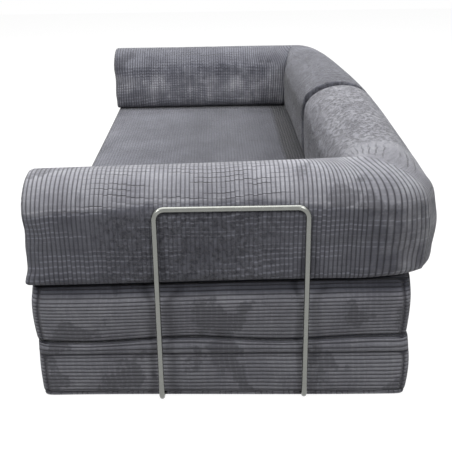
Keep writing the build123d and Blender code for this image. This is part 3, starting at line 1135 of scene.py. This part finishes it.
def make_bolster(name, end_drop, end_taper, arm_tilt, inner_lean, far_side):
    """The right-hand bolster's cover with its wale map, seams and puffed shape."""
    piece = join_legs(name)
    on_back = np.zeros(len(piece.data.polygons), np.float32)
    piece.data.attributes["on_back"].data.foreach_get("value", on_back)
    store_wale_map(piece, bolster_wales(on_back))
    points = read_points(piece)
    x, y, z = points.T
    across = arm_outer_x - x
    behind = back_outer_y - y
    level = z - bolster_low.z
    in_corner = np.maximum(across, behind) < bolster_width + 1e-4
    on_mitre = in_corner & (np.abs(across - behind) < 0.003)
    at_middle = np.abs(x - bolster_low.x) < hair
    new_across, new_behind = round_plan_corner(across, behind, bolster_corner_radius)
    x[:] = arm_outer_x - new_across
    y[:] = back_outer_y - new_behind
    shift_mitre(points, across, behind)
    has_lip = fall(y, *lip_end_zone)
    shape_back(points, across, behind, level, end_drop, end_taper)
    shape_arm(points, across, behind, level, has_lip, arm_tilt, inner_lean)
    write_points(piece, points)
    held = (on_mitre | at_middle | (level < 0.001)).astype(float)
    puff(piece, held, 3.0, bolster_puff)
    points = read_points(piece)
    x, y, z = points.T
    lowest = bolster_low.z - arm_sag(x, y) - arm_lip * rise(x, 0.872, 0.9)
    z[:] = np.maximum(z, lowest)
    x[:] = np.maximum(x, bolster_low.x)
    pressed = fall(x, bolster_low.x, bolster_low.x + 0.008)
    x -= (bolster_low.x - middle_touch) * pressed
    write_points(piece, points)
    store_marks(piece, seam_shade=0.75 * on_mitre)
    bolster_marks(piece, across, behind, level, y, far_side)
    finish_soft(piece, cover_corduroy)
    return piece


def mirror_piece(piece):
    """Mirrors a piece to the left-hand end of the sofa and turns its faces out again."""
    write_points(piece, read_points(piece) * (-1, 1, 1))
    edit_whole(piece, bpy.ops.mesh.flip_normals)


right_bolster = make_bolster("right_bolster_shell", end_drop=0.022, end_taper=0.010,
                             arm_tilt=0.007, inner_lean=0.0, far_side=False)
left_bolster = make_bolster("left_bolster_shell", end_drop=0.002, end_taper=0.0,
                            arm_tilt=0.0, inner_lean=0.022, far_side=True)
mirror_piece(left_bolster)
for side, piece in (("right", right_bolster), ("left", left_bolster)):
    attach(piece, side + "_bolster")
    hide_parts(side + "_bolster_cover", side + "_arm_foam", side + "_back_foam")
for leg in legs:
    bpy.data.objects.remove(leg)

# %% [markdown]
# ## The hem and the hollows for the feet
# The lower cover ends in a rolled hem round its bottom cloth. A curve with a round section could
# follow the outline, but a thin slab settles by the same rules as the cover, so the two stay
# together. The bracket's feet press round hollows into the underside, which booleans cut out.

# %% Hem
hem_roll = 0.003


def bottom_hem(name):
    """A flat slab with a rolled edge, from the floor up to the lower cover."""
    low = Vector((lower_low.x, lower_low.y, 0.0))
    high = Vector((lower_high.x, lower_high.y, hem_height))
    piece = mattress_block(name, low, high, 2)
    points = read_points(piece)
    at_rim = np.minimum(points[:, 2], hem_height - points[:, 2]) < hair
    points = round_mattress(points, low, high)
    middle = middle_and_half(low, high)[0][:2]
    side = points[:, :2] - middle
    inset = np.where(at_rim, hem_roll, 0.0)[:, None]
    points[:, :2] = middle + np.sign(side) * np.maximum(np.abs(side) - inset, 0)
    write_points(piece, settle(points, False))
    store_marks(piece, seam_shade=0.0, top=1.0, nap=1.2, openness=0.8)
    finish_soft(piece, cover_corduroy)
    return piece


hem = bottom_hem("lower_hem")
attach(hem, "lower_half")
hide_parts("lower_base_cloth")

# %% Hollows for the feet
foot_rise = 0.006
foot_room = 0.0068
foot_tip_x = 0.644
foot_tip_round = 0.001
foot_hollow_overrun = 0.05
arm_bracket_y = mattress_middle_y + 0.022
bracket_half_width = 0.1585


def hollow_for_feet(piece):
    """Cuts the four rounded hollows that the bracket's feet have pressed into an underside."""
    bpy.ops.object.select_all(action="DESELECT")
    reach = lower_high.x + foot_hollow_overrun - foot_tip_x
    for side, leg in ((1, 1), (1, -1), (-1, 1), (-1, -1)):
        leg_y = arm_bracket_y + leg * bracket_half_width
        place = (side * (foot_tip_x + reach / 2), leg_y, foot_rise)
        bpy.ops.mesh.primitive_cylinder_add(vertices=20, radius=foot_room, depth=reach,
                                            location=place, rotation=(0, math.pi / 2, 0))
        cutter = bpy.context.object
        tip = cutter.modifiers.new("Round", "BEVEL")
        tip.width = foot_tip_round
        apply_modifier(cutter, tip)
        cut = piece.modifiers.new("Hollow", "BOOLEAN")
        cut.operation = "DIFFERENCE"
        cut.solver = "EXACT"
        cut.object = cutter
        apply_modifier(piece, cut)
        bpy.data.objects.remove(cutter)
    print(piece.name, "hollowed, faces", len(piece.data.polygons))


for piece in (hem, lower_half):
    hollow_for_feet(piece)

# %% [markdown]
# ## The zip flaps
# A narrow flap of the same corduroy hides each zip, which lies in the border a little under the
# top seam. It is sewn along its top and loose below. A cloth simulation could let it hang, but it
# is too narrow to fall in folds, so a grid is curved by a rule and thickened.

# %% Zip flaps
flap_top = lower_high.z - 0.004
flap_bottom = zip_level - 0.005
flap_thickness = 0.0022
flap_stand_off = 0.003
flap_swell = 0.003
flap_corner = 0.014
flap_corner_drop = 0.010


def cloth_grid(name, columns, rows):
    """A square grid of one metre, and two numbers from zero to one for each of its points."""
    bpy.ops.object.select_all(action="DESELECT")
    bpy.ops.mesh.primitive_grid_add(x_subdivisions=columns, y_subdivisions=rows, size=1)
    piece = bpy.context.object
    piece.name = name
    points = read_points(piece)
    return piece, points[:, 0] + 0.5, points[:, 1] + 0.5


def zip_flap(name, upper, front_gap):
    """A rolled strip of corduroy across a mattress's end, sewn along its top and loose below."""
    length = lower_high.y - lower_low.y - front_gap - 0.003
    piece, along, down = cloth_grid(name, 60, 10)
    level = flap_top - down * (flap_top - flap_bottom)
    near_corner = np.minimum(along, 1 - along) * length
    proud = flap_stand_off + flap_swell * np.sin(math.pi * np.clip(down, 0, 1)) ** 0.7
    proud -= flap_corner_drop * fall(near_corner, 0.0, flap_corner) ** 2
    shaped = [lower_high.x + proud, lower_low.y + front_gap + along * length, level]
    write_points(piece, np.stack(shaped, axis=1))
    store_wale_map(piece, lambda face, point: (point.z * 0.8 + 0.002, point.y))
    thicken(piece, flap_thickness, 1.0)
    edit_whole(piece, bpy.ops.mesh.normals_make_consistent)
    if upper:
        mirror_piece(piece)
    points = read_points(piece)
    points[:, 2] += parting_level if upper else 0
    write_points(piece, settle(points, upper))
    store_marks(piece, seam_shade=0.0, top=1.0, nap=0.95, openness=1.0)
    finish_soft(piece, cover_corduroy)
    half = "upper" if upper else "lower"
    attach(piece, half + "_half")


zip_flap("lower_zip_flap", False, front_gap=0.003)
zip_flap("upper_zip_flap", True, front_gap=0.014)

# %% [markdown]
# ## Steel, zips and hinge cloth
# The bracket is a plated steel tube, bent cold, and the zips and caps are small hard parts. Their
# CAD nodes have the right shapes, so they stay and only get a finish. A flat grey would look like
# plastic, so a fine noise varies each colour and its roughness.

# %% Metal and small finishes
def plain_finish(name, colour, metallic, roughness, grain, grain_scale):
    """A finish with a fine grain in its colour and its roughness."""
    material, shader = new_material(name, Metallic=metallic)
    place = add_node("TexCoord", {}, "Object", tree=material.node_tree)
    fine = add_noise(place, grain_scale, 4.0, 0.6)
    darker = tuple(value * (1 - grain) for value in colour)
    plug(mix_colours(fine, darker, colour), shader.inputs["Base Color"])
    plug(remap(fine, 0.3, 0.7, roughness * 0.8, roughness * 1.25), shader.inputs["Roughness"])
    return material


finishes = {
    "bracket_steel": plain_finish("plated_tube", (0.26, 0.266, 0.25), 1.0, 0.24, 0.25, 60.0),
    "zip_metal": plain_finish("zip_metal", (0.45, 0.45, 0.46), 1.0, 0.35, 0.2, 300.0),
    "zip_tape": plain_finish("zip_tape", (0.09, 0.09, 0.1), 0.0, 0.9, 0.4, 900.0),
    "cap_plastic": plain_finish("cap_plastic", (0.03, 0.03, 0.03), 0.0, 0.5, 0.3, 400.0),
    "hinge_cloth": plain_finish("hinge_cloth", (0.16, 0.16, 0.17), 0.0, 0.95, 0.4, 700.0),
}
for part in frame["record"]["subparts"]:
    if part["material_slot"] in finishes:
        node = frame["nodes"][part["node"]]
        node.data.materials.clear()
        node.data.materials.append(finishes[part["material_slot"]])
print("finishes", *finishes)

# %% [markdown]
# ## The hinge
# The hinge is one strip of cloth sewn to both halves along the front, in the groove between them.
# Two strips, one to each half, would part at the fold when the bed opens. So one strip blends
# from one half to the other.

# %% Hinge strip
hinge_reach = parting_level - hinge_low.z
hinge_depth = 0.0035
hinge_thickness = 0.0012

strip, along, across = cloth_grid("hinge_cloth_strip", 80, 8)
share = 2 * (across - 0.5)
along = (along - 0.5) * (hinge_high.x - hinge_low.x)
drawn = long_side_draw_in * (1 - (along / lower_high.x) ** 2)
inward = front_y - hinge_depth + hinge_depth * (1 - share**2) + drawn
write_points(strip, np.stack([along, inward, parting_level + share * hinge_reach], axis=1))
store_wale_map(strip, lambda face, point: (point.x, point.z))
thicken(strip, hinge_thickness, 0.0)
finish_soft(strip, finishes["hinge_cloth"])
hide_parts("hinge_strip_lower", "hinge_strip_upper")
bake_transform(strip)
